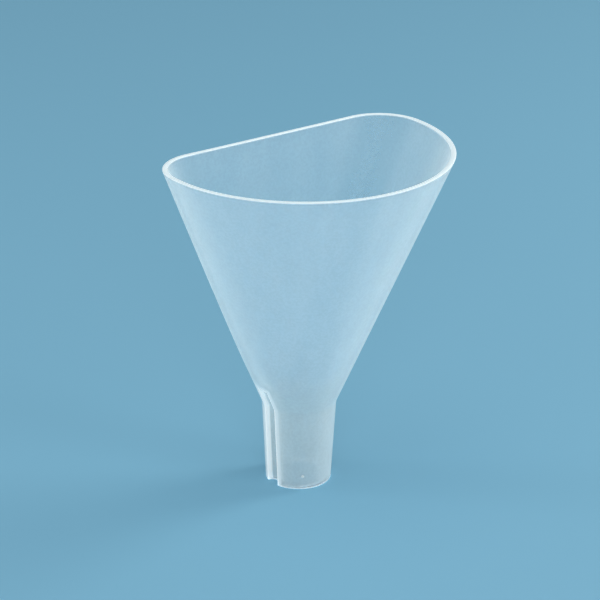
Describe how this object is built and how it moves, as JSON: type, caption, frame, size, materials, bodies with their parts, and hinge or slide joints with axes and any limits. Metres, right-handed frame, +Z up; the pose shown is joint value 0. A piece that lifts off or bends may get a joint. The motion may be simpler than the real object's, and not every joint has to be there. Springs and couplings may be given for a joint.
{
  "type": "powder funnel",
  "caption": "Translucent moulded powder funnel with a D-shaped mouth, one flat side, a short tapered stem and an external vent channel.",
  "frame": {"origin": "centre of the stem's foot, on the stem's axis", "axes": "+Z up the stem's axis towards the mouth, +Y out of the flat side, vent channel on the -X side"},
  "size_m": [0.1194, 0.0803, 0.1415],
  "materials": {
    "natural_polypropylene": "natural translucent polypropylene, satin as moulded"
  },
  "bodies": {
    "root": {"rim": "natural_polypropylene", "round_wall": "natural_polypropylene", "flat_wall": "natural_polypropylene", "stem": "natural_polypropylene", "vent_channel": "natural_polypropylene"}
  },
  "joints": []
}
